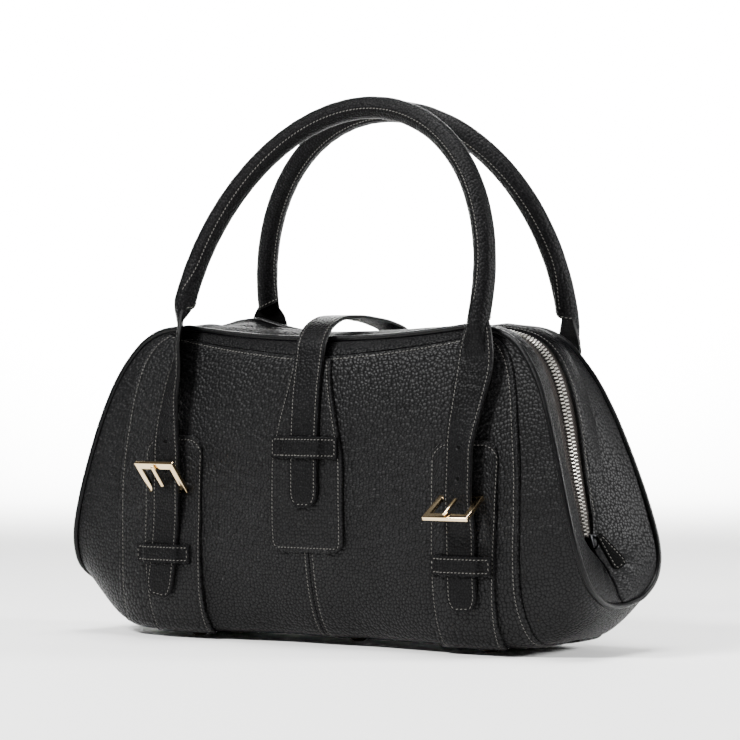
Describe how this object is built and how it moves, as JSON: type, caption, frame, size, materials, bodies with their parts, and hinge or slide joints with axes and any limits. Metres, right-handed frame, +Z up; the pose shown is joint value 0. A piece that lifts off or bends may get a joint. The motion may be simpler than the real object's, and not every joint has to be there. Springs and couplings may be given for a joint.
{
  "type": "leather handbag",
  "caption": "Structured black leather satchel with sewn grained faces, concave zipped ends, rolled handles on buckled straps, a strapped centre tab and metal feet.",
  "frame": {"origin": "On the ground at the centre of the middle foot's underside, under the middle of the base.", "axes": "+X runs along the bag's width to the right as the front face is seen, -Y points out of the front face, +Z is up."},
  "size_m": [0.4158, 0.1774, 0.3705],
  "materials": {
    "grained_leather": "black pebble-grained calf leather, soft satin",
    "smooth_leather": "black fine-grained calf leather, satin",
    "zip_tape": "dark woven zip tape, matt",
    "zip_metal": "bright silver-coloured zip teeth, sliders and rivets",
    "buckle_metal": "polished pale gold plating",
    "foot_metal": "dull brown-grey plated metal"
  },
  "bodies": {
    "root": {"front_panel_left": "grained_leather", "front_panel_right": "grained_leather", "back_panel_left": "grained_leather", "back_panel_right": "grained_leather", "front_facing": "smooth_leather", "back_facing": "smooth_leather", "wing_left": "smooth_leather", "wing_right": "smooth_leather", "piping": "smooth_leather", "gusset_front": "grained_leather", "gusset_back": "grained_leather", "zip_tape": "zip_tape", "zip_chain": "zip_metal", "zip_slider_left": "zip_metal", "zip_slider_right": "zip_metal", "zip_pull_left": "smooth_leather", "zip_pull_right": "smooth_leather", "grip_front": "smooth_leather", "grip_back": "smooth_leather", "strap_front_left": "smooth_leather", "strap_front_right": "smooth_leather", "strap_back_left": "smooth_leather", "strap_back_right": "smooth_leather", "patch_front_left": "grained_leather", "patch_front_right": "grained_leather", "patch_back_left": "grained_leather", "patch_back_right": "grained_leather", "keeper_front_left": "smooth_leather", "keeper_front_right": "smooth_leather", "keeper_back_left": "smooth_leather", "keeper_back_right": "smooth_leather", "buckle_front_left": "buckle_metal", "buckle_front_right": "buckle_metal", "buckle_back_left": "buckle_metal", "buckle_back_right": "buckle_metal", "prong_front_left": "buckle_metal", "prong_front_right": "buckle_metal", "prong_back_left": "buckle_metal", "prong_back_right": "buckle_metal", "closing_strap": "smooth_leather", "closing_tab": "smooth_leather", "closing_loop": "smooth_leather", "strap_rivet_1": "zip_metal", "strap_rivet_2": "zip_metal", "foot_front_left": "foot_metal", "foot_front_right": "foot_metal", "foot_middle": "foot_metal", "foot_back_left": "foot_metal", "foot_back_right": "foot_metal"}
  },
  "joints": []
}
